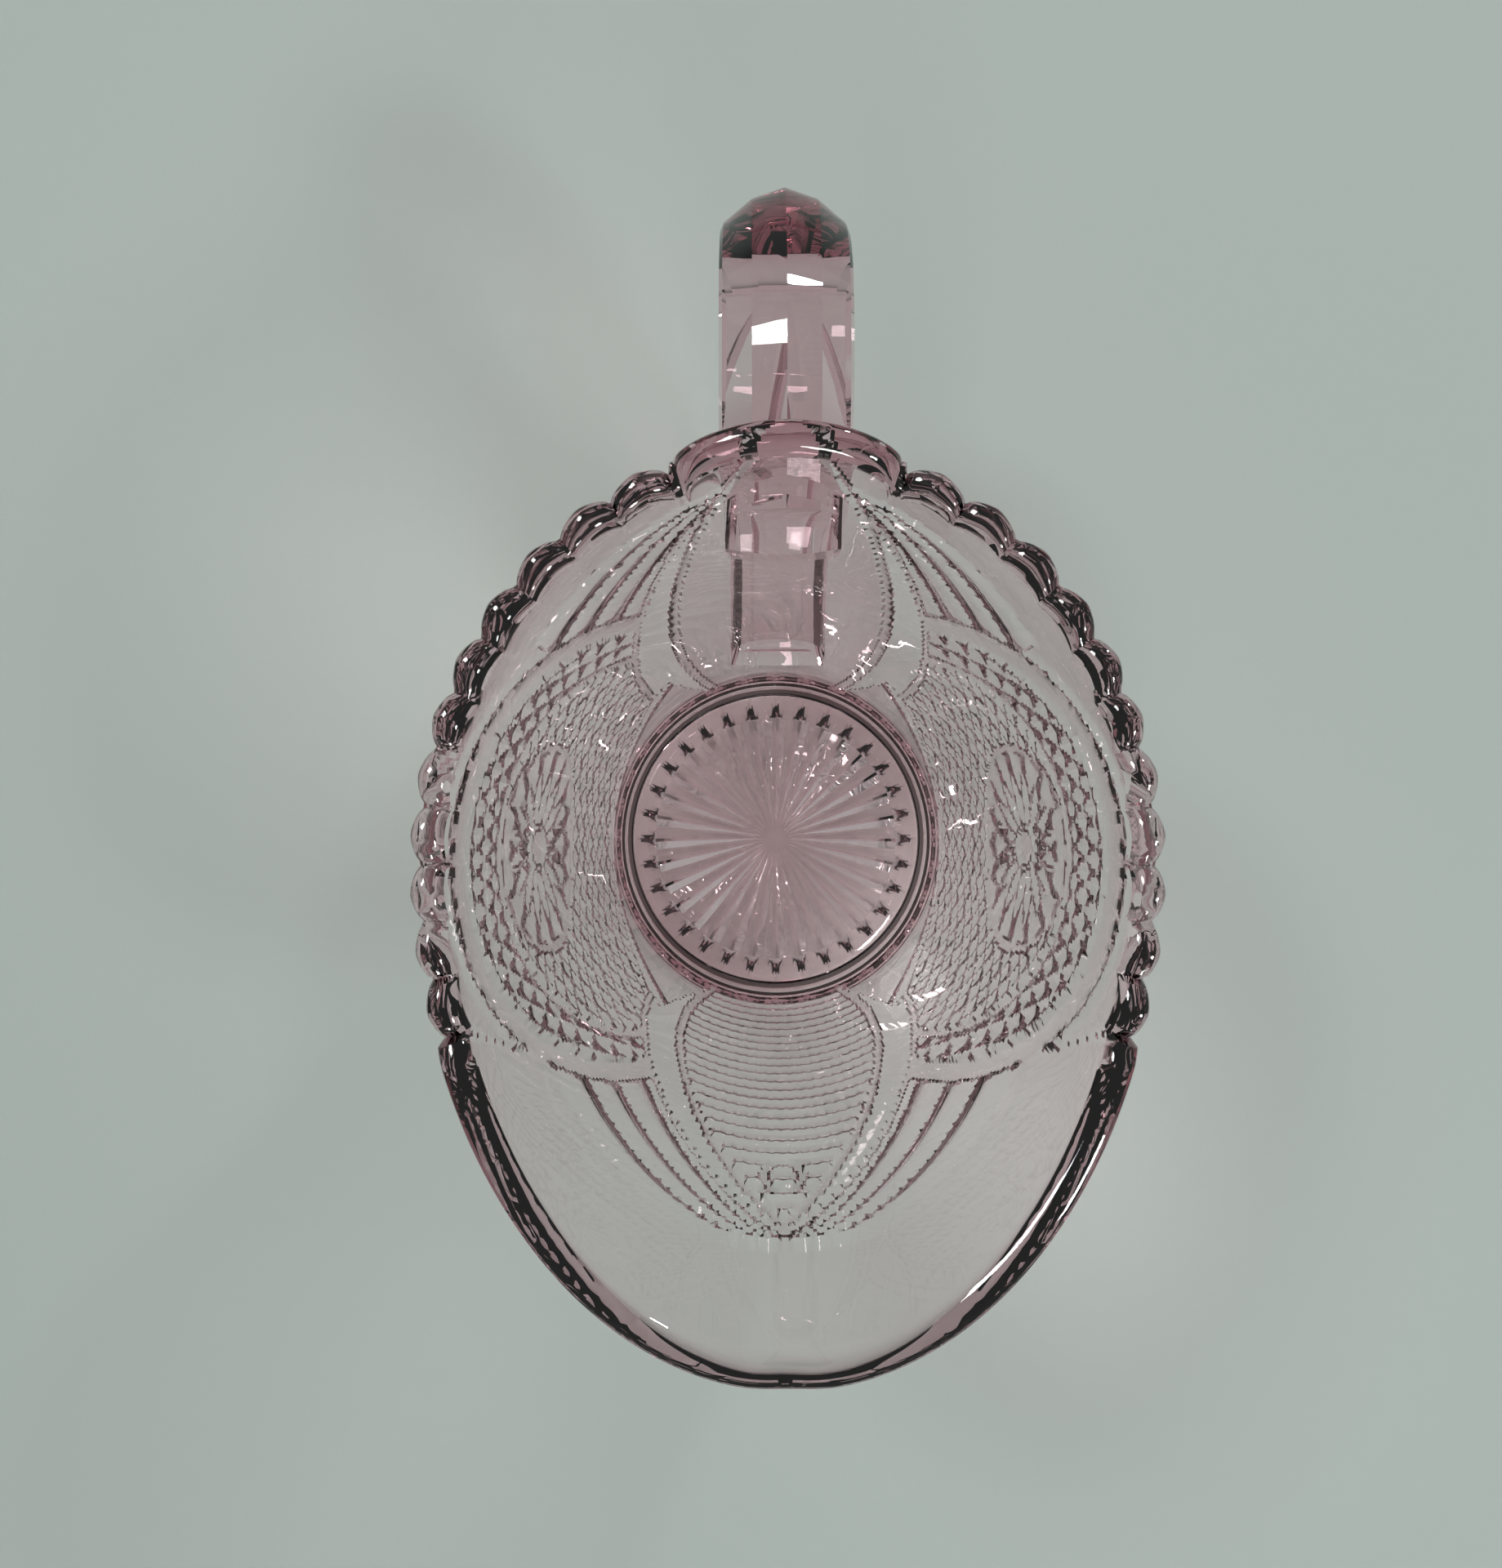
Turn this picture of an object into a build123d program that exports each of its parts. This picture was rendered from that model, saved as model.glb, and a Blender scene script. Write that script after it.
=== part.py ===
"""Pressed glass cream pitcher: star base, patterned wall panels, scalloped rims, spout and loop handle.

Millimetres, +Z up. The origin is the centre of the resting face; the spout points to -Y, the handle to +Y.
The vessel is one hollow egg-shaped form, wider towards the rim, and every zone of the pressing is cut from it,
so that neighbouring zones meet face to face. Angles round the vessel are measured from the handle.
"""
from math import cos, radians, sin
import os

from build123d import *

# Vessel: round at the foot, egg-shaped at the rim
foot_radius = 28.0
rim_half_width = 43.0
rim_to_handle = 49.0
rim_to_spout = 57.6
spout_flare_start = 40.0
spout_flare = 8.6
rim_height = 84.5
lip_height = 88.5
wall = 4.0
floor = 5.5
floor_round = 4.0
relief = 0.9

# Star base
base_top = 10.0
foot_ring_width = 3.0
foot_recess = 0.7
star_rays = 32
star_depth = 1.1
star_ray_width = 3.6
star_widest_at = 0.82
star_hub = 1.5
star_margin = 0.5

# Scalloped rims and the thumb rest between them
rim_band = 6.0
scallops = 11
scallop_from = 19.0
scallop_to = 116.0
notch_radius = 2.4
notch_depth = 1.3
thumb_rest_angle = 15.5

# Spout zone, seen from the side
spout_rim_at = 18.0
spout_joint_at = 26.2
spout_joint_height = 62.8
spout_level_from = 38.8
spout_level_height = 69.7

# Wall panels: medallions between two angles, end panels by their half widths seen from the front
medallion_from = 50.0
medallion_to = 130.0
handle_panel_top = 9.5
handle_panel_belly = 15.8
handle_panel_foot = 9.5
front_panel_top = 1.5
front_panel_belly = 15.6
front_panel_foot = 8.5
belly_height = 31.0

# Pressed ornament of the side panels
medallion_height = 47.0
medallion_radius = 13.5
medallion_petals = 16
petal_width = 3.0
button_radius = 2.6
arch_band_top = 78.0
arch_band_foot = 66.0
arch_band_half_span = 26.5
arch_band_width = 5.0
arch_line_top = 63.0
arch_line_foot = 40.0
arch_line_half_span = 28.5
arch_line_width = 1.4
fan_leaves = 5
handle_fan_root = (45.0, 77.0)
handle_fan_low = (36.0, 55.0)
handle_fan_high = (27.5, 63.0)
spout_fan_root = (-46.5, 69.0)
spout_fan_low = (-34.0, 46.0)
spout_fan_high = (-26.5, 56.0)
leaf_bow = 1.3

# Columns beside the handle and front panels, between two rails, and the canes of the front panel
column_width = 6.8
rail_width = 1.4
cane_pitch = 6.0
cane_gap = 1.6

# Handle: a ridged band, thickest at its roots
handle_width = 15.7
handle_ridge_width = 8.0
handle_ridge = 1.2
handle_shoulder = 4.2
handle_underside = 3.0
handle_arm_height = 75.5
handle_bend_reach = 76.8
handle_foot_height = 17.5
upper_root_thickness = 26.0
arm_thickness = 12.6
bend_thickness = 12.0
grip_thickness = 11.2
lower_root_thickness = 15.0

lofted_over = 4.0
loft_steps = 4
ornament_root = 1.0
beyond = 2 * rim_to_spout
band_bottom = rim_height - rim_band


def outline(height, inset):
    """The vessel's outline at one height, moved inwards by inset."""
    rise = height / lip_height
    flared = max(0.0, (height - spout_flare_start) / (lip_height - spout_flare_start)) ** 2
    half_width = foot_radius + (rim_half_width - foot_radius) * rise - inset
    to_handle = foot_radius + (rim_to_handle - foot_radius) * rise - inset
    to_spout = foot_radius + (rim_to_spout - spout_flare - foot_radius) * rise + spout_flare * flared - inset
    with BuildSketch(Plane.XY.offset(height)) as egg:
        with BuildLine():
            EllipticalCenterArc((0, 0), half_width, to_handle, 0, arc_size=180)
            EllipticalCenterArc((0, 0), half_width, to_spout, 180, arc_size=180)
        make_face()
    return egg.sketch


def vessel(inset, start):
    """Loft the vessel's form from a start height to above the lip."""
    spacing = (lip_height + lofted_over - start) / loft_steps
    loft([outline(start + spacing * step, inset) for step in range(loft_steps + 1)])


with BuildPart() as envelope:
    vessel(0, 0)

with BuildPart() as core:
    vessel(relief, 0)

with BuildPart() as hollow:
    vessel(wall, floor)
    fillet(hollow.faces().sort_by(Axis.Z)[0].edges(), floor_round)

with BuildPart() as rooted_core:
    vessel(relief + ornament_root, 0)

# The glass of the plain wall and of the patterned wall, and the layer that raised ornament is cut from
with BuildPart() as plain_wall:
    add(envelope.part)
    add(hollow.part, mode=Mode.SUBTRACT)

with BuildPart() as patterned_wall:
    add(core.part)
    add(hollow.part, mode=Mode.SUBTRACT)

with BuildPart() as skin:
    add(envelope.part)
    add(rooted_core.part, mode=Mode.SUBTRACT)


def around(angle, radius):
    """A point in plan at an angle from the handle, clockwise seen from above."""
    return (radius * sin(radians(angle)), radius * cos(radians(angle)))


def wedge(from_angle, to_angle, bottom, top):
    """A wedge of space between two angles and two heights."""
    with BuildPart() as space:
        with BuildSketch(Plane.XY.offset(bottom)):
            corners = [around(angle, beyond) for angle in (from_angle, (from_angle + to_angle) / 2, to_angle)]
            Polygon((0, 0), *corners, align=None)
        extrude(amount=top - bottom)
    return space.part


# The spout's zone: all of the wall in front of a curved boundary seen from the side
with BuildPart() as spout_zone:
    with BuildSketch(Plane.YZ):
        with BuildLine():
            edge = Line((-spout_rim_at, lip_height + lofted_over), (-spout_rim_at, rim_height))
            side = Line(edge @ 1, (-spout_joint_at, spout_joint_height))
            middle_at = (spout_joint_at + spout_level_from) / 2
            middle_height = spout_joint_height + 0.72 * (spout_level_height - spout_joint_height)
            shoulder = ThreePointArc(
                side @ 1, (-middle_at, middle_height), (-spout_level_from, spout_level_height)
            )
            level = Line(shoulder @ 1, (-beyond, spout_level_height))
            Polyline(level @ 1, (-beyond, beyond), (-spout_rim_at, beyond), edge @ 0)
        make_face()
    extrude(amount=beyond, both=True)


def arch(half_span, foot, top, width):
    """An arched ribbon in the side view, drawn from its upper edge."""
    with BuildSketch() as ribbon:
        with BuildLine():
            over = ThreePointArc((-half_span, foot), (0, top), (half_span, foot))
            under = ThreePointArc((half_span, foot - width), (0, top - width), (-half_span, foot - width))
            Line(over @ 1, under @ 0)
            Line(under @ 1, over @ 0)
        make_face()
    return ribbon.sketch


def leaf(root, tip):
    """A curved leaf of a fan, between two arcs from root to tip."""
    root, tip = Vector(*root), Vector(*tip)
    across = (tip - root).normalized().rotate(Axis.Z, 90)
    if across.Y < 0:
        across = -across
    middle = (root + tip) * 0.5
    with BuildSketch() as blade:
        with BuildLine():
            back = ThreePointArc(root, middle + across * (2 * leaf_bow), tip)
            ThreePointArc(back @ 1, middle + across * (0.3 * leaf_bow), back @ 0)
        make_face()
    return blade.sketch


def fan(root, low_tip, high_tip):
    """The leaves of a fan, spread between two tips."""
    low_tip, high_tip = Vector(*low_tip), Vector(*high_tip)
    with BuildSketch() as leaves:
        for number in range(fan_leaves):
            tip = low_tip + (high_tip - low_tip) * (number / (fan_leaves - 1))
            add(leaf(root, (tip.X, tip.Y)))
    return leaves.sketch


def hobstar():
    """A button with a ring of pointed petals."""
    with BuildSketch() as star:
        Circle(button_radius)
        widest = (button_radius + medallion_radius) / 2
        with PolarLocations(0, medallion_petals):
            Polygon(
                (button_radius + 1, 0),
                (widest, petal_width / 2),
                (medallion_radius, 0),
                (widest, -petal_width / 2),
                align=None,
            )
    return star.sketch


def end_panel(top_at, top, belly_at, foot_at, wider):
    """Half widths of an end panel as a face in the front view, made wider on both sides."""
    with BuildSketch() as half:
        with BuildLine():
            flank = ThreePointArc((top_at + wider, top), (belly_at + wider, belly_height), (foot_at + wider, 0))
            Polyline(flank @ 1, (0, 0), (0, top), flank @ 0)
        make_face()
        mirror(about=Plane.YZ)
    return half.sketch


def rails(top_at, top, belly_at, foot_at):
    """The plain pair of rails along the edges of an end panel."""
    with BuildSketch() as pair:
        add(end_panel(top_at, top, belly_at, foot_at, column_width))
        add(end_panel(top_at, top, belly_at, foot_at, column_width - rail_width), mode=Mode.SUBTRACT)
        add(end_panel(top_at, top, belly_at, foot_at, rail_width))
        add(end_panel(top_at, top, belly_at, foot_at, 0), mode=Mode.SUBTRACT)
    return pair.sketch


with BuildPart() as side_ornament:
    with BuildSketch(Plane.YZ):
        add(arch(arch_band_half_span, arch_band_foot, arch_band_top, arch_band_width))
        add(arch(arch_line_half_span, arch_line_foot, arch_line_top, arch_line_width))
        with Locations((0, medallion_height)):
            add(hobstar())
        add(fan(handle_fan_root, handle_fan_low, handle_fan_high))
        add(fan(spout_fan_root, spout_fan_low, spout_fan_high))
    extrude(amount=beyond)
    add(skin.part, mode=Mode.INTERSECT)

handle_panel_sizes = (handle_panel_top, band_bottom, handle_panel_belly, handle_panel_foot)
front_panel_sizes = (front_panel_top, spout_level_height - 2, front_panel_belly, front_panel_foot)

# Plain space behind the handle, and the pointed panel below the spout
with BuildPart() as handle_panel_zone:
    with BuildSketch(Plane.XZ):
        add(end_panel(*handle_panel_sizes, 0))
    extrude(amount=-beyond)

with BuildPart() as front_panel_zone:
    with BuildSketch(Plane.XZ):
        add(end_panel(*front_panel_sizes, 0))
    extrude(amount=beyond)

with BuildPart() as column_rails:
    with BuildSketch(Plane.XZ):
        add(rails(*handle_panel_sizes))
    extrude(amount=-beyond)
    with BuildSketch(Plane.XZ):
        add(rails(*front_panel_sizes))
    extrude(amount=beyond)
    add(skin.part, mode=Mode.INTERSECT)

with BuildPart() as canes:
    with BuildSketch(Plane.XZ):
        add(end_panel(*front_panel_sizes, -1))
        with GridLocations(0, cane_pitch, 1, 2 * int(lip_height / cane_pitch)):
            Rectangle(beyond, cane_gap, mode=Mode.SUBTRACT)
    extrude(amount=beyond)
    add(skin.part, mode=Mode.INTERSECT)


with BuildPart() as raised_ornament:
    add(side_ornament.part)
    add(column_rails.part)


def right_panel(from_angle, to_angle):
    """One wall panel of the right-hand side, with its share of the ornament."""
    with BuildPart() as space:
        add(wedge(from_angle, to_angle, base_top, band_bottom))
        add(spout_zone.part, mode=Mode.SUBTRACT)
        add(handle_panel_zone.part, mode=Mode.SUBTRACT)
        add(front_panel_zone.part, mode=Mode.SUBTRACT)
    with BuildPart() as raised:
        add(raised_ornament.part)
        add(space.part, mode=Mode.INTERSECT)
    with BuildPart() as panel:
        add(patterned_wall.part)
        add(space.part, mode=Mode.INTERSECT)
        add(raised.part)
    return panel.part


with BuildPart() as star_ray:
    star_radius = foot_radius - foot_ring_width - star_margin
    widest = star_radius * star_widest_at
    with BuildSketch(Plane.XY.offset(foot_recess)) as kite:
        Polygon((star_hub, 0), (widest, star_ray_width / 2), (star_radius, 0), (widest, -star_ray_width / 2), align=None)
    loft([kite.sketch, Vertex(widest, 0, foot_recess + star_depth)])

with BuildPart() as star_base:
    add(plain_wall.part)
    split(bisect_by=Plane.XY.offset(base_top), keep=Keep.BOTTOM)
    with BuildSketch(Plane.XY):
        Circle(foot_radius - foot_ring_width)
    extrude(amount=foot_recess, mode=Mode.SUBTRACT)
    with PolarLocations(0, star_rays):
        add(star_ray.part, mode=Mode.SUBTRACT)

with BuildPart() as handle_panel:
    add(plain_wall.part)
    add(wedge(-90, 90, base_top, band_bottom), mode=Mode.INTERSECT)
    add(handle_panel_zone.part, mode=Mode.INTERSECT)

with BuildPart() as front_panel:
    add(patterned_wall.part)
    add(wedge(90, 270, base_top, band_bottom), mode=Mode.INTERSECT)
    add(canes.part)
    add(wedge(90, 270, base_top, band_bottom), mode=Mode.INTERSECT)
    add(front_panel_zone.part, mode=Mode.INTERSECT)
    add(spout_zone.part, mode=Mode.SUBTRACT)

with BuildPart() as right_medallion:
    add(right_panel(medallion_from, medallion_to))

with BuildPart() as right_handle_fan:
    add(right_panel(0, medallion_from))

with BuildPart() as right_spout_fan:
    add(right_panel(medallion_to, 180))

with BuildPart() as right_rim:
    add(plain_wall.part)
    add(wedge(thumb_rest_angle, medallion_to, band_bottom, rim_height), mode=Mode.INTERSECT)
    add(spout_zone.part, mode=Mode.SUBTRACT)
    for notch in range(scallops + 1):
        turn = scallop_from + (scallop_to - scallop_from) * notch / scallops
        with BuildSketch(Plane(origin=(0, 0, rim_height), x_dir=(0, 0, 1), z_dir=around(turn, 1))):
            with Locations((notch_radius - notch_depth, 0)):
                Circle(notch_radius)
    extrude(amount=beyond, mode=Mode.SUBTRACT)

with BuildPart() as thumb_rest:
    add(plain_wall.part)
    add(wedge(-thumb_rest_angle, thumb_rest_angle, band_bottom, lip_height), mode=Mode.INTERSECT)
    with BuildSketch(Plane.XZ):
        with BuildLine():
            half_span = around(thumb_rest_angle, rim_to_handle)[0]
            dome = ThreePointArc((-half_span, rim_height - 1), (0, lip_height), (half_span, rim_height - 1))
            Polyline(dome @ 1, (half_span, 0), (-half_span, 0), dome @ 0)
        make_face()
    extrude(amount=-beyond, mode=Mode.INTERSECT)

with BuildPart() as spout:
    add(plain_wall.part)
    add(spout_zone.part, mode=Mode.INTERSECT)
    with BuildSketch(Plane.YZ):
        with BuildLine():
            start = Line((0, 0), (0, rim_height))
            level = Line(start @ 1, (-spout_rim_at, rim_height))
            lip = ThreePointArc(
                level @ 1,
                (-(spout_rim_at + rim_to_spout) / 2, rim_height + (lip_height - rim_height) * 0.45),
                (-rim_to_spout, lip_height),
            )
            Polyline(lip @ 1, (-beyond, lip_height), (-beyond, 0), start @ 0)
        make_face()
    extrude(amount=beyond, both=True, mode=Mode.INTERSECT)


def handle_section(reach, height, heading, thickness):
    """The handle's ridged section, square to its run in the side view."""
    run = Vector(0, -cos(radians(heading)), -sin(radians(heading)))
    back, front = thickness / 2, -thickness / 2
    with BuildSketch(Plane(origin=(0, reach, height), x_dir=(1, 0, 0), z_dir=run)) as section:
        Polygon(
            (0, back),
            (handle_ridge_width / 2, back - handle_ridge),
            (handle_width / 2, back - handle_shoulder),
            (handle_width / 2, front + handle_underside),
            (handle_width / 2 - handle_underside, front),
            (handle_underside - handle_width / 2, front),
            (-handle_width / 2, front + handle_underside),
            (-handle_width / 2, back - handle_shoulder),
            (-handle_ridge_width / 2, back - handle_ridge),
            align=None,
        )
    return section.sketch


with BuildPart() as handle:
    arm = handle_arm_height
    bend = handle_bend_reach
    foot = handle_foot_height
    loft(
        [
            handle_section(rim_to_handle - 9, arm - 11.5, 0, upper_root_thickness),
            handle_section(rim_to_handle + 1, arm - 3.5, 12, (upper_root_thickness + arm_thickness) / 2.4),
            handle_section(rim_to_handle + 11, arm, 0, arm_thickness),
            handle_section(bend - 6.5, arm - 2.5, -35, bend_thickness),
            handle_section(bend, arm - 11.5, -75, bend_thickness),
            handle_section(bend - 1.5, arm - 24.5, -108, bend_thickness),
            handle_section(bend - 10, foot + 20, -128, grip_thickness),
            handle_section(bend - 22, foot + 9, -142, grip_thickness),
            handle_section(bend - 35, foot + 2.3, -160, (grip_thickness + lower_root_thickness) / 2.1),
            handle_section(foot_radius, foot, -175, lower_root_thickness),
        ]
    )
    add(envelope.part, mode=Mode.SUBTRACT)


def save(piece, name):
    """Label a finished piece and write it."""
    piece.label = name
    print(name, piece.is_valid, len(piece.solids()), round(piece.volume), piece.bounding_box())
    export_step(piece, f"parts/{name}.step")


os.makedirs("parts", exist_ok=True)
save(star_base.part, "star_base")
save(handle_panel.part, "handle_panel")
save(front_panel.part, "front_panel")
save(thumb_rest.part, "thumb_rest")
save(spout.part, "spout")
save(handle.part, "handle")
paired = {
    "medallion_panel": right_medallion,
    "handle_fan_panel": right_handle_fan,
    "spout_fan_panel": right_spout_fan,
    "scalloped_rim": right_rim,
}
for name, right_piece in paired.items():
    save(right_piece.part, f"right_{name}")
    save(mirror(right_piece.part, about=Plane.YZ), f"left_{name}")
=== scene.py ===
"""Pressed glass cream pitcher on a plain pale table, seen from straight above."""

import math

import bpy
import numpy as np
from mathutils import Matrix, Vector


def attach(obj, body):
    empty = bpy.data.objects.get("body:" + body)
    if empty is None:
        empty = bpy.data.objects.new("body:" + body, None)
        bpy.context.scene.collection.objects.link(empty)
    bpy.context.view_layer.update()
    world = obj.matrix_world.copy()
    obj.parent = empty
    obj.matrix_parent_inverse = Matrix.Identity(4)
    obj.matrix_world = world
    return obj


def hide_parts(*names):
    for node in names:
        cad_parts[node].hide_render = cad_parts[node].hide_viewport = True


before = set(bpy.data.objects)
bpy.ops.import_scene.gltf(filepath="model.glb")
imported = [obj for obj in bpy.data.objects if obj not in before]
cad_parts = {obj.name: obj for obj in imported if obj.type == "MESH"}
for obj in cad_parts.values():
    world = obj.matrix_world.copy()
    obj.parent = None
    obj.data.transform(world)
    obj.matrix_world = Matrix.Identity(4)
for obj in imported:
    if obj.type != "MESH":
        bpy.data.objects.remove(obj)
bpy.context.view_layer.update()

MM = 0.001

# The vessel's driving sizes, in millimetres, as the frame's nodes have them
FOOT_RADIUS = 28.0
RIM_HALF_WIDTH = 43.0
RIM_TO_HANDLE = 49.0
RIM_TO_SPOUT = 57.6
FLARE_START = 40.0
SPOUT_FLARE = 8.6
RIM_HEIGHT = 84.5
LIP_HEIGHT = 88.45
WALL = 4.0
FLOOR = 5.5
FLOOR_ROUND = 4.0

COLUMNS = 544
STAR_RAYS = 32


def semi_axes(z, inset):
    """Half width, reach to the handle and reach to the spout of the egg-shaped outline at height z."""
    rise = z / 88.5
    flared = np.maximum(0.0, (z - FLARE_START) / (88.5 - FLARE_START)) ** 2
    half_width = FOOT_RADIUS + (RIM_HALF_WIDTH - FOOT_RADIUS) * rise - inset
    to_handle = FOOT_RADIUS + (RIM_TO_HANDLE - FOOT_RADIUS) * rise - inset
    to_spout = FOOT_RADIUS + (RIM_TO_SPOUT - SPOUT_FLARE - FOOT_RADIUS) * rise + SPOUT_FLARE * flared - inset
    return half_width, to_handle, to_spout


def on_wall(turn, z, inset):
    """A point of the wall at a turn from the handle, moved inwards by inset."""
    half_width, to_handle, to_spout = semi_axes(z, inset)
    reach = np.where(np.cos(turn) > 0, to_handle, to_spout)
    return half_width * np.sin(turn), reach * np.cos(turn)


def smooth(low, high, value):
    """0 below low, 1 above high, smooth between."""
    t = np.clip((value - low) / (high - low), 0.0, 1.0)
    return t * t * (3 - 2 * t)


def wave(value):
    """A zigzag of period 1: 0 at whole numbers, 1 halfway."""
    return 1 - np.abs(2 * (value - np.floor(value)) - 1)


def scoop(value):
    """A row of round hollows of period 1: 0 at whole numbers, 1 halfway."""
    across = 2 * (value - np.floor(value)) - 1
    return np.sqrt(np.maximum(0.0, 1 - across * across))


def circle_through(a, b, c):
    """Centre and radius of the circle through three points of an outline."""
    (ax, ay), (bx, by), (cx, cy) = a, b, c
    d = 2 * (ax * (by - cy) + bx * (cy - ay) + cx * (ay - by))
    a2, b2, c2 = ax * ax + ay * ay, bx * bx + by * by, cx * cx + cy * cy
    ux = (a2 * (by - cy) + b2 * (cy - ay) + c2 * (ay - by)) / d
    uy = (a2 * (cx - bx) + b2 * (ax - cx) + c2 * (bx - ax)) / d
    return ux, uy, math.hypot(ax - ux, ay - uy)


def outside(arc, across, up):
    """Signed distance outside the circle of an arc, in the plane that the arc is drawn in."""
    return np.hypot(across - arc[0], up - arc[1]) - arc[2]


# Outlines of the pressed ornament, each an arc through three points: end panels and ladder columns in the
# front view (half width, height), arch band and arch line in the side view (reach to the handle, height)
HANDLE_PANEL = circle_through((8.0, 76.0), (15.9, 33.0), (9.0, 2.0))
HANDLE_COLUMN = circle_through((9.5, 74.0), (23.0, 37.0), (17.0, 8.0))
FRONT_PANEL = circle_through((0.5, 66.0), (15.7, 31.0), (8.5, 1.0))
FRONT_COLUMN = circle_through((2.0, 67.5), (21.9, 34.0), (13.5, 3.0))
BAND_OVER = circle_through((-26.4, 64.6), (-1.0, 78.2), (26.0, 67.0))
BAND_UNDER = circle_through((-26.0, 58.6), (-0.5, 73.4), (25.5, 61.5))
ARCH_LINE = (0.4, 33.6, 29.0)
MEDALLION = (0.5, 47.3)
MEDALLION_RADIUS = 13.6
BUTTON_RADIUS = 2.5
PETALS = 16
RUNG_PITCH = 1.3


def hobstar(y, z):
    """Depth of the hobstar: a button in a ring, with pointed petals cut to their middle lines."""
    r = np.hypot(y - MEDALLION[0], z - MEDALLION[1])
    turn = np.arctan2(y - MEDALLION[0], z - MEDALLION[1]) / (2 * math.pi)
    along = np.clip((r - BUTTON_RADIUS) / (MEDALLION_RADIUS - BUTTON_RADIUS), 0, 1)
    petal = wave(turn * PETALS)
    between = wave(turn * PETALS + 0.5)
    long_petals = 1.15 * np.clip(petal - np.abs(2 * along - 0.75), 0, 1)
    short_petals = 0.9 * np.clip(between - np.abs(2.4 * along - 1.9), 0, 1)
    button = 0.9 * smooth(BUTTON_RADIUS - 0.1, BUTTON_RADIUS + 0.35, r) * smooth(BUTTON_RADIUS + 1.3, BUTTON_RADIUS + 0.7, r)
    return np.where(r < BUTTON_RADIUS + 1.0, button, np.maximum(long_petals, short_petals))


def diamonds(y, z, pitch, slope, depth):
    """Depth of a field of pointed diamonds between two families of crossing cuts."""
    one = wave((y * slope + z) / pitch)
    other = wave((y * slope - z) / pitch)
    return depth * (1 - np.minimum(one, other))


def relief(x, y, z):
    """Depth of the pressed ornament below the vessel's outer face."""
    across = np.abs(x)
    to_handle = y > 0
    panel_arc = np.where(to_handle, outside(HANDLE_PANEL, across, z), outside(FRONT_PANEL, across, z))
    column_arc = np.where(to_handle, outside(HANDLE_COLUMN, across, z), outside(FRONT_COLUMN, across, z))
    over = outside(BAND_OVER, y, z)
    under = outside(BAND_UNDER, y, z)
    line = outside(ARCH_LINE, y, np.maximum(z, ARCH_LINE[1]))
    spout_edge = spout_boundary(y, z)

    # the side's fields, from the middle outwards
    medallion_r = np.hypot(y - MEDALLION[0], z - MEDALLION[1])
    lower_field = diamonds(y, z, 3.1, 0.8, 1.05)
    inside_line = np.where(medallion_r < MEDALLION_RADIUS + 0.2, hobstar(y, z), lower_field)
    inside_line = np.where(np.abs(medallion_r - MEDALLION_RADIUS - 0.9) < 0.7, 0.25, inside_line)
    lattice = 0.15 + diamonds(y, z, 6.2, 1.9, 0.95)
    fans = np.where(to_handle, handle_fan(across, y, z), spout_fan(across, y, z))
    ladder = 0.2 + 0.8 * wave(z / RUNG_PITCH) * smooth(0.0, 0.8, panel_arc) * smooth(0.0, 0.8, -column_arc)
    ladder = np.where((panel_arc < 0.9) | (column_arc > -0.9), 0.1, ladder)
    end_field = np.where(to_handle, 0.5, front_canes(across, z))

    depth = np.where(under < 0, lattice, fans)
    depth = np.where(line < 0, inside_line, depth)
    depth = np.where(np.abs(line) < 0.6, 0.0, depth)
    depth = np.where(column_arc < 0, ladder, depth)
    depth = np.where(panel_arc < 0, end_field, depth)
    depth = np.where(np.abs(panel_arc) < 0.45, 0.0, depth)
    band = (over < 0) & (under > 0) & (column_arc > 0)
    bulge = 0.12 * (2 * np.clip(under / np.maximum(under - over, 0.01), 0, 1) - 1) ** 2
    depth = np.where(band, bulge, depth)
    side_above = (over > 0) & (np.abs(y) < 27)
    over_band = 0.35 + 0.85 * np.exp(-(((over - 0.7) / 0.55) ** 2))
    depth = np.where(side_above, over_band * smooth(0.0, 0.5, over), depth)
    under_band = (under < 0) & (under > -1.3) & (column_arc > 0) & (np.abs(y) < 27)
    depth = np.where(under_band, np.maximum(depth, 1.2 * np.exp(-(((under + 0.65) / 0.45) ** 2))), depth)
    depth = np.where(spout_edge > 0, 0.0, depth)
    foot = smooth(7.6, 6.8, z)
    return depth * (1 - foot) + 0.0 * foot


def spout_boundary(y, z):
    """Above 0 in the plain spout, which starts over a shoulder at each side and runs level to the front."""
    level = 69.7 - 6.9 * (1 - smooth(-26.2 - 14.0, -26.2, y)) * 0
    rise = 62.8 + 6.9 * np.sqrt(np.clip(1 - ((-38.8 - np.minimum(y, 0)) / 12.6) ** 2, 0, 1))
    height = np.where(y < -38.8, level, rise)
    side = -(18.0 + (84.5 - z) * 8.2 / 21.7)
    return np.where(y < side, z - height, -1.0)


def fan_leaves(away, down, count, first, last, sweep):
    """Depth of a fan's scooped leaves round its root, between two bearings, swept outwards with distance."""
    reach = np.hypot(away, down)
    bearing = np.arctan2(away, down) - sweep * reach
    share = (bearing - first) / (last - first) * count
    hollows = 0.15 + 0.95 * scoop(share)
    return np.where((share > 0) & (share < count), hollows, 0.35)


def handle_fan(across, y, z):
    """The fan whose root is beside the thumb rest."""
    turn = np.degrees(np.arctan2(across, np.abs(y)))
    return fan_leaves((turn - 9.5) * 0.74, 77.5 - z, 5, 0.16, 1.25, 0.004)


def spout_fan(across, y, z):
    """The fan whose root is under the middle of the spout."""
    turn = np.degrees(np.arctan2(across, np.abs(y)))
    return fan_leaves(turn * 0.80, 71.5 - z, 6, 0.30, 1.45, -0.002)


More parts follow.
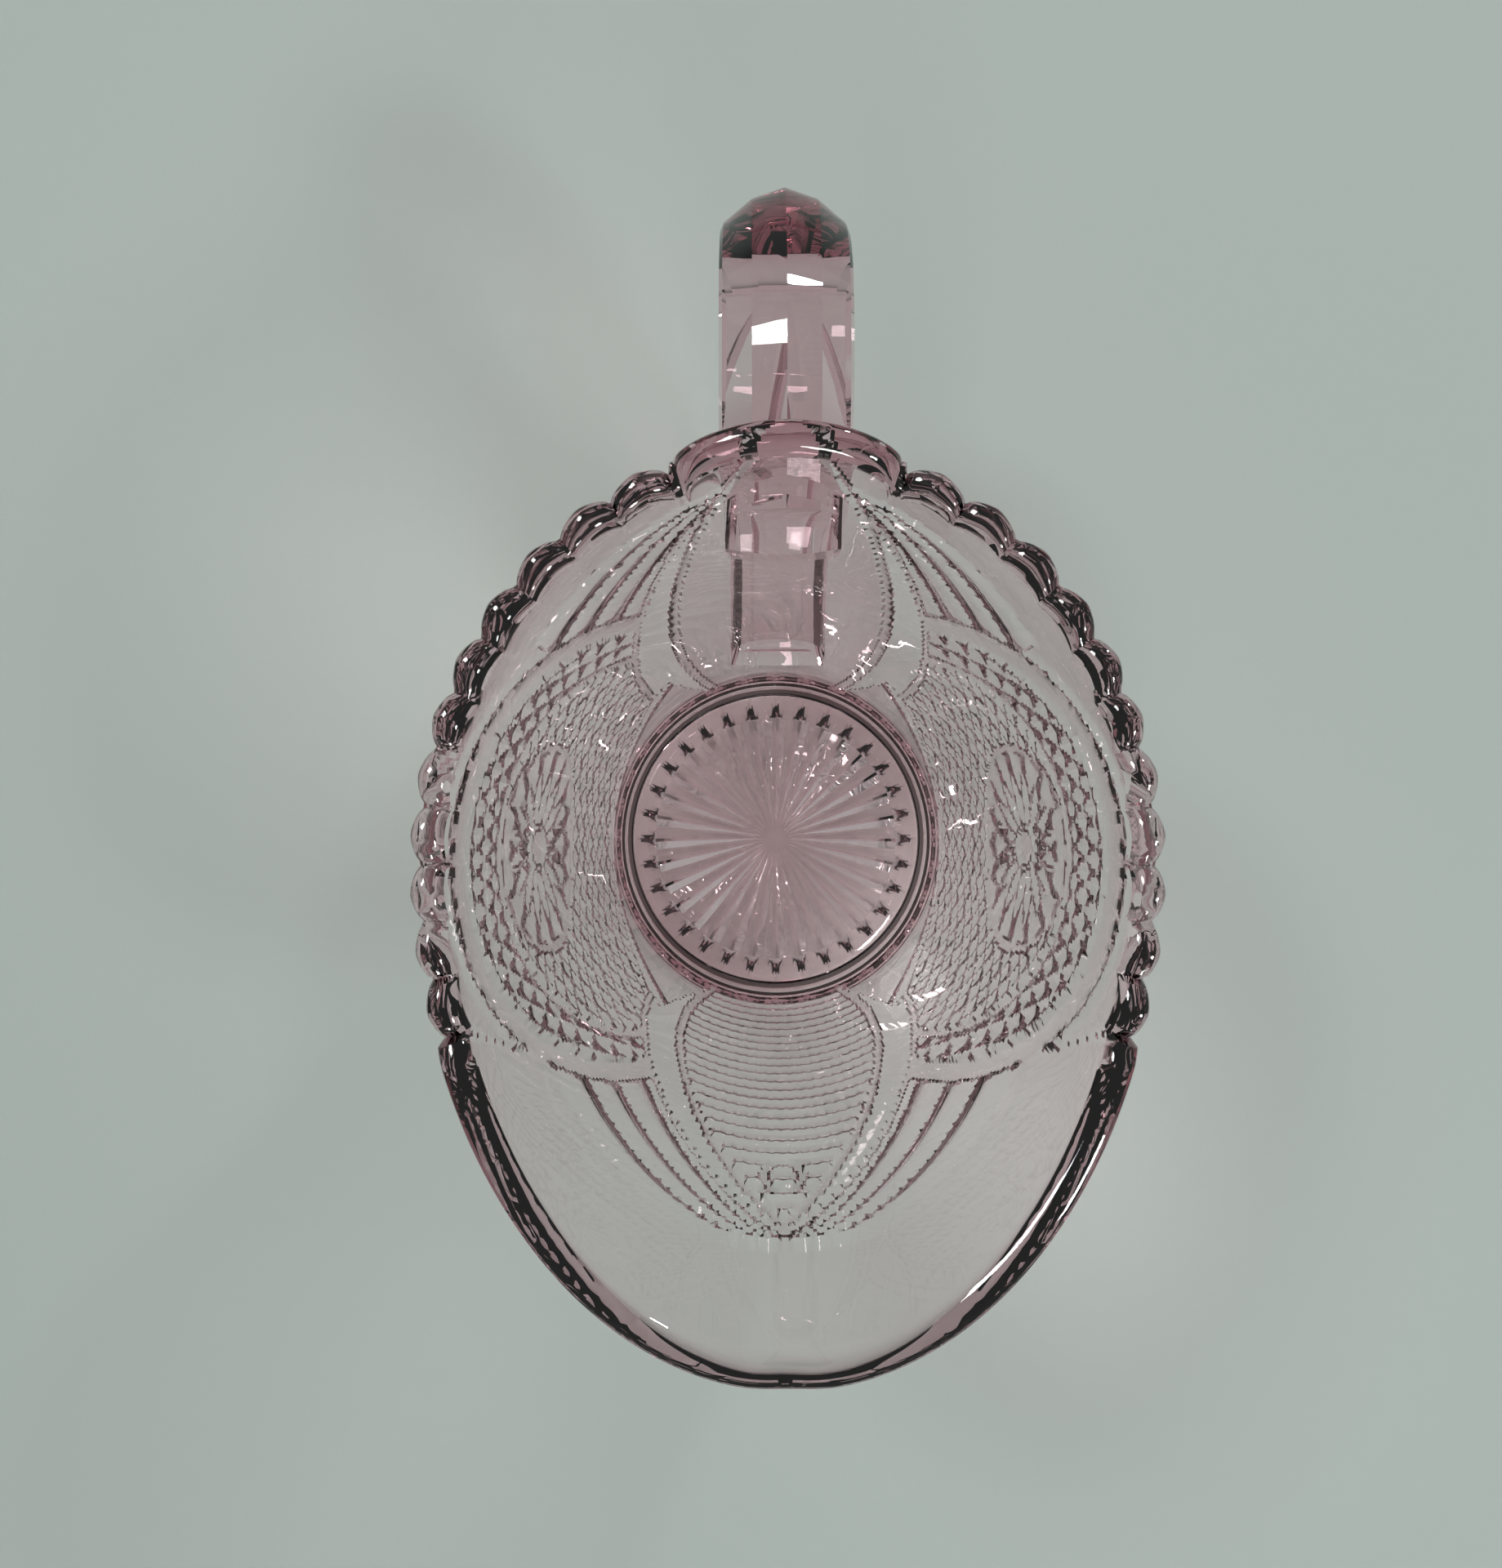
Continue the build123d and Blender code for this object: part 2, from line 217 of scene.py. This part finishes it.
def front_canes(across, z):
    """Depth of the stacked canes in the pointed panel under the spout."""
    canes = 0.2 + 0.75 * (1 - scoop(z / 2.6))
    stipple = 0.25 * wave(across / 1.6)
    loop = np.hypot(across, z - 58.5)
    canes = np.where(np.abs(loop - 2.6) < 0.6, 0.0, canes + stipple)
    return canes


def rim_top(turn):
    """Height of the rim at a turn from the handle: scallops, the domed thumb rest and the rising lip."""
    x, y = on_wall(turn, np.full_like(turn, RIM_HEIGHT), 0.0)
    bearing = np.degrees(np.arctan2(np.abs(x), y))
    phase = (bearing - SCALLOP_FROM) / (SCALLOP_TO - SCALLOP_FROM) * SCALLOPS
    lobes = RIM_HEIGHT - 1.5 * (1 - scoop(phase)) ** 0.8
    dome = RIM_HEIGHT - 1.0 + (LIP_HEIGHT - RIM_HEIGHT + 1.0) * np.sqrt(np.clip(1 - (x / 12.9) ** 2, 0, 1))
    forward = np.clip((-y - 18.0) / (RIM_TO_SPOUT - 18.0), 0, 1)
    lip = RIM_HEIGHT + (LIP_HEIGHT - RIM_HEIGHT) * forward ** 1.1
    lip = lip - 0.9 * np.exp(-((x / 4.0) ** 2)) * smooth(0.9, 1.0, forward) - 1.2 * smooth(0.12, 0.0, forward)
    top = np.where((bearing > SCALLOP_FROM) & (bearing < SCALLOP_TO), lobes, RIM_HEIGHT)
    top = np.where(bearing <= SCALLOP_FROM, np.maximum(dome, RIM_HEIGHT - 1.5 + 0 * dome), top)
    return np.where(bearing >= SCALLOP_TO, lip, top)


SCALLOPS = 11
SCALLOP_FROM = 17.0
SCALLOP_TO = 117.0


def rim_beads(x, y, z, top):
    """Depth of the round-bottomed flutes between the scallops, under the rim."""
    bearing = np.degrees(np.arctan2(np.abs(x), y))
    phase = (bearing - SCALLOP_FROM) / (SCALLOP_TO - SCALLOP_FROM) * SCALLOPS
    scalloped = (bearing > SCALLOP_FROM) & (bearing < SCALLOP_TO)
    flute = (1 - scoop(phase)) ** 0.7
    return np.where(scalloped, 1.1 * flute * smooth(79.2, 82.0, z), 0.0)


def star(r, turn):
    """Height of the star's cuts above the resting face: pointed rays of two facets round a small hub."""
    tip, widest, hub = 24.5, 20.1, 0.8
    half = 1.95
    grows = np.clip((r - hub) / (widest - hub), 0, 1)
    fades = np.clip((tip - r) / (tip - widest), 0, 1)
    half_width = half * np.minimum(grows, fades)
    share = turn / (2 * math.pi) * STAR_RAYS
    off = np.abs(share - np.round(share)) / STAR_RAYS * 2 * math.pi * r
    return 0.85 * np.maximum(0.0, half_width - off)


def ring_rows():
    """The vessel's skin as rows of points: star, foot, patterned outer face, rim, inner face and floor."""
    turn = np.arange(COLUMNS) * (2 * math.pi / COLUMNS)
    rows = []

    def flat_ring(r, z):
        rows.append(np.stack([r * np.sin(turn), r * np.cos(turn), z + 0 * turn], 1))

    recess = 0.7
    for r in (0.5, 1.6, 3.2, 5.5, 8.5, 12.0, 16.0, 20.1, 21.6, 23.1, 24.5):
        flat_ring(r, recess + star(np.full_like(turn, r), turn))
    flat_ring(24.9, recess)
    for r, z in ((25.2, 0.35), (25.7, 0.0), (26.9, 0.0), (27.5, 0.12), (27.95, 0.45)):
        flat_ring(r, z)

    top = rim_top(turn)
    lip_round = 1.7
    blend_from = 70.2
    heights = [1.0, 1.8, 3.2, 5.0]
    heights += list(np.arange(RUNG_PITCH * 5, blend_from, RUNG_PITCH / 2))
    for height in heights:
        z = np.full_like(turn, height)
        x, y = on_wall(turn, z, 0.0)
        depth = relief(x, y, z)
        x, y = on_wall(turn, z, depth)
        rows.append(np.stack([x, y, z], 1))
    upper_rows = 22
    for step in range(1, upper_rows + 1):
        z = blend_from + (top - lip_round - blend_from) * step / upper_rows
        x, y = on_wall(turn, z, 0.0)
        depth = np.maximum(relief(x, y, z), rim_beads(x, y, z, top))
        x, y = on_wall(turn, z, depth)
        rows.append(np.stack([x, y, z], 1))

    outer_depth = rim_beads(*on_wall(turn, top, 0.0), top, top)
    half_wall = (WALL - outer_depth) / 2
    for step in range(1, 9):
        swing = math.pi * step / 9
        z = top - lip_round + lip_round * math.sin(swing)
        inset = outer_depth + half_wall * (1 - math.cos(swing))
        x, y = on_wall(turn, z, inset)
        rows.append(np.stack([x, y, z], 1))
    inner_from = FLOOR + FLOOR_ROUND
    for step in range(0, 13):
        z = (top - lip_round) + (inner_from - top + lip_round) * step / 12
        x, y = on_wall(turn, z, WALL)
        rows.append(np.stack([x, y, z], 1))
    corner_x, corner_y = on_wall(turn, np.full_like(turn, FLOOR), WALL)
    for step in range(1, 8):
        swing = math.pi / 2 * step / 7
        z = np.full_like(turn, inner_from - FLOOR_ROUND * math.sin(swing))
        x, y = on_wall(turn, z, WALL + FLOOR_ROUND * (1 - math.cos(swing)))
        rows.append(np.stack([x, y, z], 1))
    for share in (0.7, 0.4, 0.15):
        rows.append(np.stack([corner_x * share, corner_y * share, FLOOR + 0 * turn], 1))
    return rows


def skin_mesh(name, rows):
    """A closed mesh from rows of points, its first and last rows closed by a fan."""
    columns = len(rows[0])
    points = np.concatenate(rows) * MM
    first = np.append(rows[0].mean(0), []) * MM
    last = np.append(rows[-1].mean(0), []) * MM
    points = np.concatenate([points, [first, last]])
    bottom, top = len(points) - 2, len(points) - 1
    faces = []
    for row in range(len(rows) - 1):
        for column in range(columns):
            following = (column + 1) % columns
            low, high = row * columns, (row + 1) * columns
            faces.append((low + column, high + column, high + following, low + following))
    end = (len(rows) - 1) * columns
    for column in range(columns):
        following = (column + 1) % columns
        faces.append((bottom, column, following))
        faces.append((top, end + following, end + column))
    mesh = bpy.data.meshes.new(name)
    mesh.from_pydata(points.tolist(), [], faces)
    mesh.update()
    piece = bpy.data.objects.new(name, mesh)
    bpy.context.scene.collection.objects.link(piece)
    return piece


def finish_surface(piece, sharp_angle):
    """Smooth the piece where it is round and keep its cut edges crisp."""
    bpy.ops.object.select_all(action="DESELECT")
    piece.select_set(True)
    bpy.context.view_layer.objects.active = piece
    bpy.ops.object.mode_set(mode="EDIT")
    bpy.ops.mesh.select_all(action="SELECT")
    bpy.ops.mesh.normals_make_consistent(inside=False)
    bpy.ops.object.mode_set(mode="OBJECT")
    bpy.ops.object.shade_smooth_by_angle(angle=math.radians(sharp_angle))


vessel = skin_mesh("pitcher_body", ring_rows())
finish_surface(vessel, 28)


# The handle: ridged sections along its run in the side view (reach, height, heading, thickness)
HANDLE_WIDTH = 15.7
HANDLE_RUN = (
    (41.0, 64.4, 0, 25.0),
    (50.0, 72.0, 12, 16.1),
    (60.0, 75.5, 0, 12.6),
    (70.3, 73.0, -35, 12.0),
    (76.8, 64.0, -75, 12.0),
    (75.3, 51.0, -108, 12.0),
    (66.8, 37.5, -128, 11.2),
    (54.8, 26.5, -142, 11.2),
    (41.8, 19.8, -160, 12.5),
    (30.0, 17.6, -174, 14.6),
)


def handle_section(reach, height, heading, thickness):
    """Points of the handle's ridged section, square to its run."""
    back, front, side = thickness / 2, -thickness / 2, HANDLE_WIDTH / 2
    outline = [
        (0, back), (4.0, back - 1.3), (side - 0.4, back - 4.0), (side, back - 4.8),
        (side, front + 3.4), (side - 0.8, front + 1.4), (side - 3.2, front),
    ]
    outline = outline + [(0, front)] + [(-w, n) for w, n in reversed(outline[1:])]
    cosine, sine = math.cos(math.radians(heading)), math.sin(math.radians(heading))
    return [(w, reach - sine * n, height + cosine * n) for w, n in outline]


def curve_through(stations, share):
    """A smooth station between the given ones, by Catmull-Rom."""
    spans = len(stations) - 1
    place = min(share * spans, spans - 1e-9)
    index = int(place)
    t = place - index
    points = [np.array(stations[min(max(index + k, 0), spans)], float) for k in (-1, 0, 1, 2)]
    a, b, c, d = points
    return 0.5 * (2 * b + (c - a) * t + (2 * a - 5 * b + 4 * c - d) * t * t + (3 * b - a - 3 * c + d) * t ** 3)


def make_handle():
    steps = 72
    rows = [np.array(handle_section(*curve_through(HANDLE_RUN, step / steps))) for step in range(steps + 1)]
    handle = skin_mesh("handle", rows)
    finish_surface(handle, 24)
    return handle


def join_handle(body, arm):
    """Make the handle one glass with the body, as the pressing is."""
    union = body.modifiers.new("handle joint", "BOOLEAN")
    union.operation = "UNION"
    union.solver = "EXACT"
    union.object = arm
    bpy.ops.object.select_all(action="DESELECT")
    body.select_set(True)
    bpy.context.view_layer.objects.active = body
    bpy.ops.object.modifier_apply(modifier=union.name)
    bpy.data.objects.remove(arm)
    bpy.ops.object.shade_smooth_by_angle(angle=math.radians(19))


join_handle(vessel, make_handle())

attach(vessel, "root")
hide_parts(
    "star_base", "handle_panel", "front_panel", "thumb_rest", "spout",
    "right_medallion_panel", "left_medallion_panel", "right_handle_fan_panel", "left_handle_fan_panel",
    "right_spout_fan_panel", "left_spout_fan_panel", "right_scalloped_rim", "left_scalloped_rim", "handle",
)


class Sock:
    """A shader socket that Python expressions can be written with."""

    def __init__(self, tree, socket):
        self.tree = tree
        self.socket = socket

    def math(self, operation, *values):
        return node(self.tree, "ShaderNodeMath", {"operation": operation}, values)

    def __add__(self, other):
        return self.math("ADD", self, other)

    __radd__ = __add__

    def __mul__(self, other):
        return self.math("MULTIPLY", self, other)

    __rmul__ = __mul__

    def __sub__(self, other):
        return self.math("SUBTRACT", self, other)

    def __rsub__(self, other):
        return self.math("SUBTRACT", other, self)


def node(tree, kind, settings, values, output=0):
    """Add a node, set its settings first and then its sockets, and wrap one of its outputs."""
    made = tree.nodes.new(kind)
    for name, value in settings.items():
        setattr(made, name, value)
    pairs = values.items() if isinstance(values, dict) else enumerate(values)
    for name, value in pairs:
        if isinstance(value, Sock):
            tree.links.new(value.socket, made.inputs[name])
        else:
            made.inputs[name].default_value = value
    return Sock(tree, made.outputs[output])


def new_material(name):
    material = bpy.data.materials.new(name)
    material.use_nodes = True
    material.node_tree.nodes.clear()
    return material, material.node_tree


def pink_glass():
    """Pale pink pressed glass: clear where thin, maroon where light has come a long way through it."""
    material, tree = new_material("pink_glass")
    place = node(tree, "ShaderNodeTexCoord", {}, {}, "Object")
    ripple = node(tree, "ShaderNodeTexNoise", {}, {"Vector": place, "Scale": 90.0, "Detail": 2.0})
    bump = node(tree, "ShaderNodeBump", {}, {"Strength": 0.08, "Distance": 0.0006, "Height": ripple})
    glass = node(
        tree,
        "ShaderNodeBsdfPrincipled",
        {},
        {
            "Base Color": (1.0, 0.965, 0.965, 1.0),
            "Roughness": 0.0,
            "IOR": 1.5,
            "Transmission Weight": 1.0,
            "Normal": bump,
        },
    )
    clear = node(tree, "ShaderNodeBsdfTransparent", {}, {"Color": (0.68, 0.61, 0.62, 1.0)})
    shadow = node(tree, "ShaderNodeLightPath", {}, {}, "Is Shadow Ray")
    surface = node(tree, "ShaderNodeMixShader", {}, {0: shadow, 1: glass, 2: clear})
    tint = node(tree, "ShaderNodeVolumeAbsorption", {}, {"Color": (0.80, 0.54, 0.60, 1.0), "Density": 46.0})
    output = tree.nodes.new("ShaderNodeOutputMaterial")
    tree.links.new(surface.socket, output.inputs["Surface"])
    tree.links.new(tint.socket, output.inputs["Volume"])
    return material


def pale_table():
    """A plain pale table top."""
    material, tree = new_material("pale_table")
    place = node(tree, "ShaderNodeTexCoord", {}, {}, "Object")
    grain = node(tree, "ShaderNodeTexNoise", {}, {"Vector": place, "Scale": 240.0, "Detail": 3.0})
    surface = node(
        tree,
        "ShaderNodeBsdfPrincipled",
        {},
        {"Base Color": (0.36, 0.41, 0.385, 1.0), "Roughness": 0.75, "Normal": node(
            tree, "ShaderNodeBump", {}, {"Strength": 0.05, "Distance": 0.0005, "Height": grain})},
    )
    output = tree.nodes.new("ShaderNodeOutputMaterial")
    tree.links.new(surface.socket, output.inputs["Surface"])
    return material


vessel.data.materials.clear()
vessel.data.materials.append(pink_glass())

bpy.ops.mesh.primitive_plane_add(size=3.0, location=(0, 0, 0))
table = bpy.context.object
table.name = "table_top"
table.data.materials.append(pale_table())


def soft_lamp(name, place, target, size, power):
    """A square soft lamp that faces a point."""
    light = bpy.data.lights.new(name, "AREA")
    light.size = size
    light.energy = power
    lamp = bpy.data.objects.new(name, light)
    lamp.location = place
    lamp.rotation_euler = (Vector(target) - Vector(place)).to_track_quat("-Z", "Y").to_euler()
    bpy.context.scene.collection.objects.link(lamp)
    return lamp


soft_lamp("key_lamp", (-0.35, 0.30, 0.65), (0, 0, 0.04), 0.16, 2.0)
soft_lamp("fill_lamp", (0.45, -0.25, 0.55), (0, 0, 0.04), 0.10, 1.3)
soft_lamp("window_lamp", (0.10, -0.60, 0.50), (0, 0, 0.04), 0.12, 1.1)
soft_lamp("small_lamp", (0.30, 0.45, 0.40), (0, 0, 0.04), 0.04, 0.7)

world = bpy.data.worlds.new("studio")
bpy.context.scene.world = world
world.use_nodes = True
sky = world.node_tree.nodes["Background"]
sky.inputs["Color"].default_value = (0.55, 0.56, 0.55, 1.0)
seen_sky = node(world.node_tree, "ShaderNodeLightPath", {}, {}, "Is Camera Ray")
world.node_tree.links.new((seen_sky * 0.6 + 0.75).socket, sky.inputs["Strength"])

camera_data = bpy.data.cameras.new("camera")
camera_data.lens = 36.0 * 1750 / 1920
camera_data.sensor_width = 36.0
camera = bpy.data.objects.new("camera", camera_data)
camera.location = (-4.1 * MM, 9.1 * MM, 242.0 * MM)
bpy.context.scene.collection.objects.link(camera)
bpy.context.scene.camera = camera
bpy.context.scene.view_settings.view_transform = "Standard"

bpy.context.view_layer.update()
